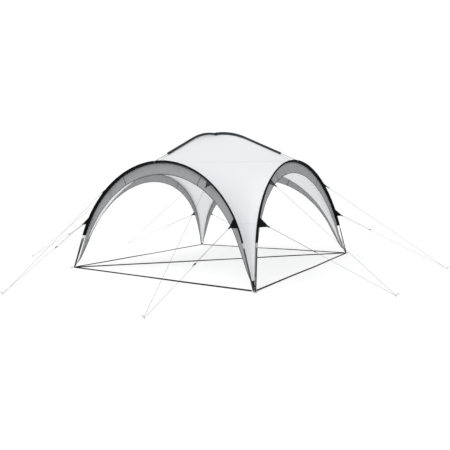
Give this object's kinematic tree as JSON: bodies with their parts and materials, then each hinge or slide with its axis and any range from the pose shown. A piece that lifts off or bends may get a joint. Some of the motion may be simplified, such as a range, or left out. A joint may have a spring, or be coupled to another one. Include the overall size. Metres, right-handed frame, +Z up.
{
  "type": "dome shelter",
  "caption": "Open square tarp shelter with leaning side arches, crossing roof poles, tensioned white canopy, grey valances, ground straps and guy lines.",
  "frame": {"origin": "on the ground under the top of the canopy, midway between the four corner feet", "axes": "+Z up, +X towards the right side arch, -Y towards the front side arch"},
  "size_m": [7.2912, 6.801, 2.2604],
  "materials": {
    "canopy_fabric": "coated woven polyester, white",
    "valance_fabric": "light translucent grey ripstop",
    "sleeve_fabric": "black woven polyester",
    "roof_sleeve_fabric": "dark grey woven polyester",
    "fibreglass_pole": "light grey pultruded fibreglass",
    "steel_leg": "dark grey coated steel tube",
    "zinc_foot": "satin zinc-plated",
    "strap_webbing": "black woven webbing",
    "guy_cord": "braided grey cord",
    "slider_plastic": "black moulded nylon",
    "peg_steel": "plated steel wire"
  },
  "bodies": {
    "shelter": {"arch_bow_back": "fibreglass_pole", "arch_bow_front": "fibreglass_pole", "arch_bow_left": "fibreglass_pole", "arch_bow_right": "fibreglass_pole", "arch_sleeve_back": "sleeve_fabric", "arch_sleeve_front": "sleeve_fabric", "arch_sleeve_left": "sleeve_fabric", "arch_sleeve_right": "sleeve_fabric", "canopy_back_left": "canopy_fabric", "canopy_back_right": "canopy_fabric", "canopy_front_left": "canopy_fabric", "canopy_front_right": "canopy_fabric", "corner_foot_back_left": "zinc_foot", "corner_foot_back_right": "zinc_foot", "corner_foot_front_left": "zinc_foot", "corner_foot_front_right": "zinc_foot", "ground_peg_back_left": "peg_steel", "ground_peg_back_right": "peg_steel", "ground_peg_front_left": "peg_steel", "ground_peg_front_right": "peg_steel", "ground_peg_left_back": "peg_steel", "ground_peg_left_front": "peg_steel", "ground_peg_right_back": "peg_steel", "ground_peg_right_front": "peg_steel", "ground_strap_back": "strap_webbing", "ground_strap_diagonal": "strap_webbing", "ground_strap_front": "strap_webbing", "ground_strap_left": "strap_webbing", "ground_strap_right": "strap_webbing", "guy_line_back_left": "guy_cord", "guy_line_back_right": "guy_cord", "guy_line_front_left": "guy_cord", "guy_line_front_right": "guy_cord", "guy_line_left_back": "guy_cord", "guy_line_left_front": "guy_cord", "guy_line_right_back": "guy_cord", "guy_line_right_front": "guy_cord", "leg_back_left": "steel_leg", "leg_back_right": "steel_leg", "leg_front_left": "steel_leg", "leg_front_right": "steel_leg", "leg_left_back": "steel_leg", "leg_left_front": "steel_leg", "leg_right_back": "steel_leg", "leg_right_front": "steel_leg", "roof_pole_front_to_back": "fibreglass_pole", "roof_pole_left_to_right": "fibreglass_pole", "roof_sleeve": "roof_sleeve_fabric", "valance_back": "valance_fabric", "valance_front": "valance_fabric", "valance_left": "valance_fabric", "valance_right": "valance_fabric"},
    "slider_front_left": {"guy_slider_front_left": "slider_plastic"},
    "slider_front_right": {"guy_slider_front_right": "slider_plastic"},
    "slider_right_front": {"guy_slider_right_front": "slider_plastic"},
    "slider_right_back": {"guy_slider_right_back": "slider_plastic"},
    "slider_back_right": {"guy_slider_back_right": "slider_plastic"},
    "slider_back_left": {"guy_slider_back_left": "slider_plastic"},
    "slider_left_back": {"guy_slider_left_back": "slider_plastic"},
    "slider_left_front": {"guy_slider_left_front": "slider_plastic"}
  },
  "joints": [
    {"name": "slider_front_left_slide", "type": "slide", "parent": "shelter", "child": "slider_front_left", "axis": [-0.3322, 0.8566, 0.3948], "range_m": [0, 0.4]},
    {"name": "slider_front_right_slide", "type": "slide", "parent": "shelter", "child": "slider_front_right", "axis": [0.0265, 0.8837, 0.4674], "range_m": [0, 0.4]},
    {"name": "slider_right_front_slide", "type": "slide", "parent": "shelter", "child": "slider_right_front", "axis": [-0.8822, -0.1273, 0.4532], "range_m": [0, 0.4]},
    {"name": "slider_right_back_slide", "type": "slide", "parent": "shelter", "child": "slider_right_back", "axis": [-0.8661, 0.345, 0.3618], "range_m": [0, 0.4]},
    {"name": "slider_back_right_slide", "type": "slide", "parent": "shelter", "child": "slider_back_right", "axis": [0.1511, -0.9045, 0.3988], "range_m": [0, 0.4]},
    {"name": "slider_back_left_slide", "type": "slide", "parent": "shelter", "child": "slider_back_left", "axis": [-0.1511, -0.9045, 0.3988], "range_m": [0, 0.4]},
    {"name": "slider_left_back_slide", "type": "slide", "parent": "shelter", "child": "slider_left_back", "axis": [0.9337, 0.1056, 0.3421], "range_m": [0, 0.4]},
    {"name": "slider_left_front_slide", "type": "slide", "parent": "shelter", "child": "slider_left_front", "axis": [0.9374, -0.0293, 0.347], "range_m": [0, 0.4]}
  ]
}
